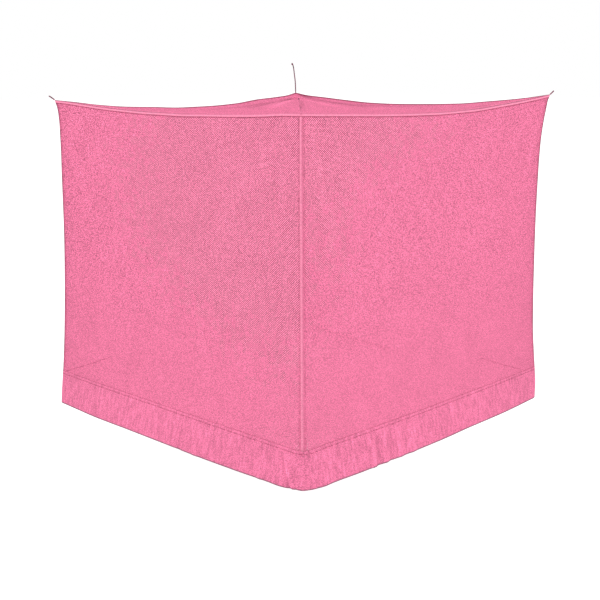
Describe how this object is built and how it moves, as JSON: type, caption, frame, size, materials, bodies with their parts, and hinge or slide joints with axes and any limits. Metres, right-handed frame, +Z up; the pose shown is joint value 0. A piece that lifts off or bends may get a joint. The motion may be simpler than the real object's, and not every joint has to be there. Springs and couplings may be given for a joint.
{
  "type": "mosquito net canopy",
  "caption": "Box-shaped mosquito net canopy with netting walls and roof, a plain cloth border round its open foot, bound seams and a tie at each top corner.",
  "frame": {"origin": "the back left top corner of the canopy, where its long tie is sewn in", "axes": "+Z up, +X along the back wall's top edge to the right, +Y out through the back wall; the walls run along X and Y"},
  "size_m": [2.0805, 2.089, 2.0048],
  "materials": {
    "netting": "fine knitted polyester netting, matt",
    "border": "plain woven polyester, matt",
    "tape": "plain woven tape, matt",
    "cord": "twisted cord, matt"
  },
  "bodies": {
    "root": {"front_net": "netting", "right_net": "netting", "back_net": "netting", "left_net": "netting", "roof_net": "netting", "bottom_border": "border", "corner_tape_front_left": "tape", "corner_tape_front_right": "tape", "corner_tape_back_right": "tape", "corner_tape_back_left": "tape", "binding_front": "tape", "binding_right": "tape", "binding_back": "tape", "binding_left": "tape", "tie_back_left": "cord", "tie_front_left": "cord", "tie_front_right": "cord", "tie_back_right": "cord"}
  },
  "joints": []
}
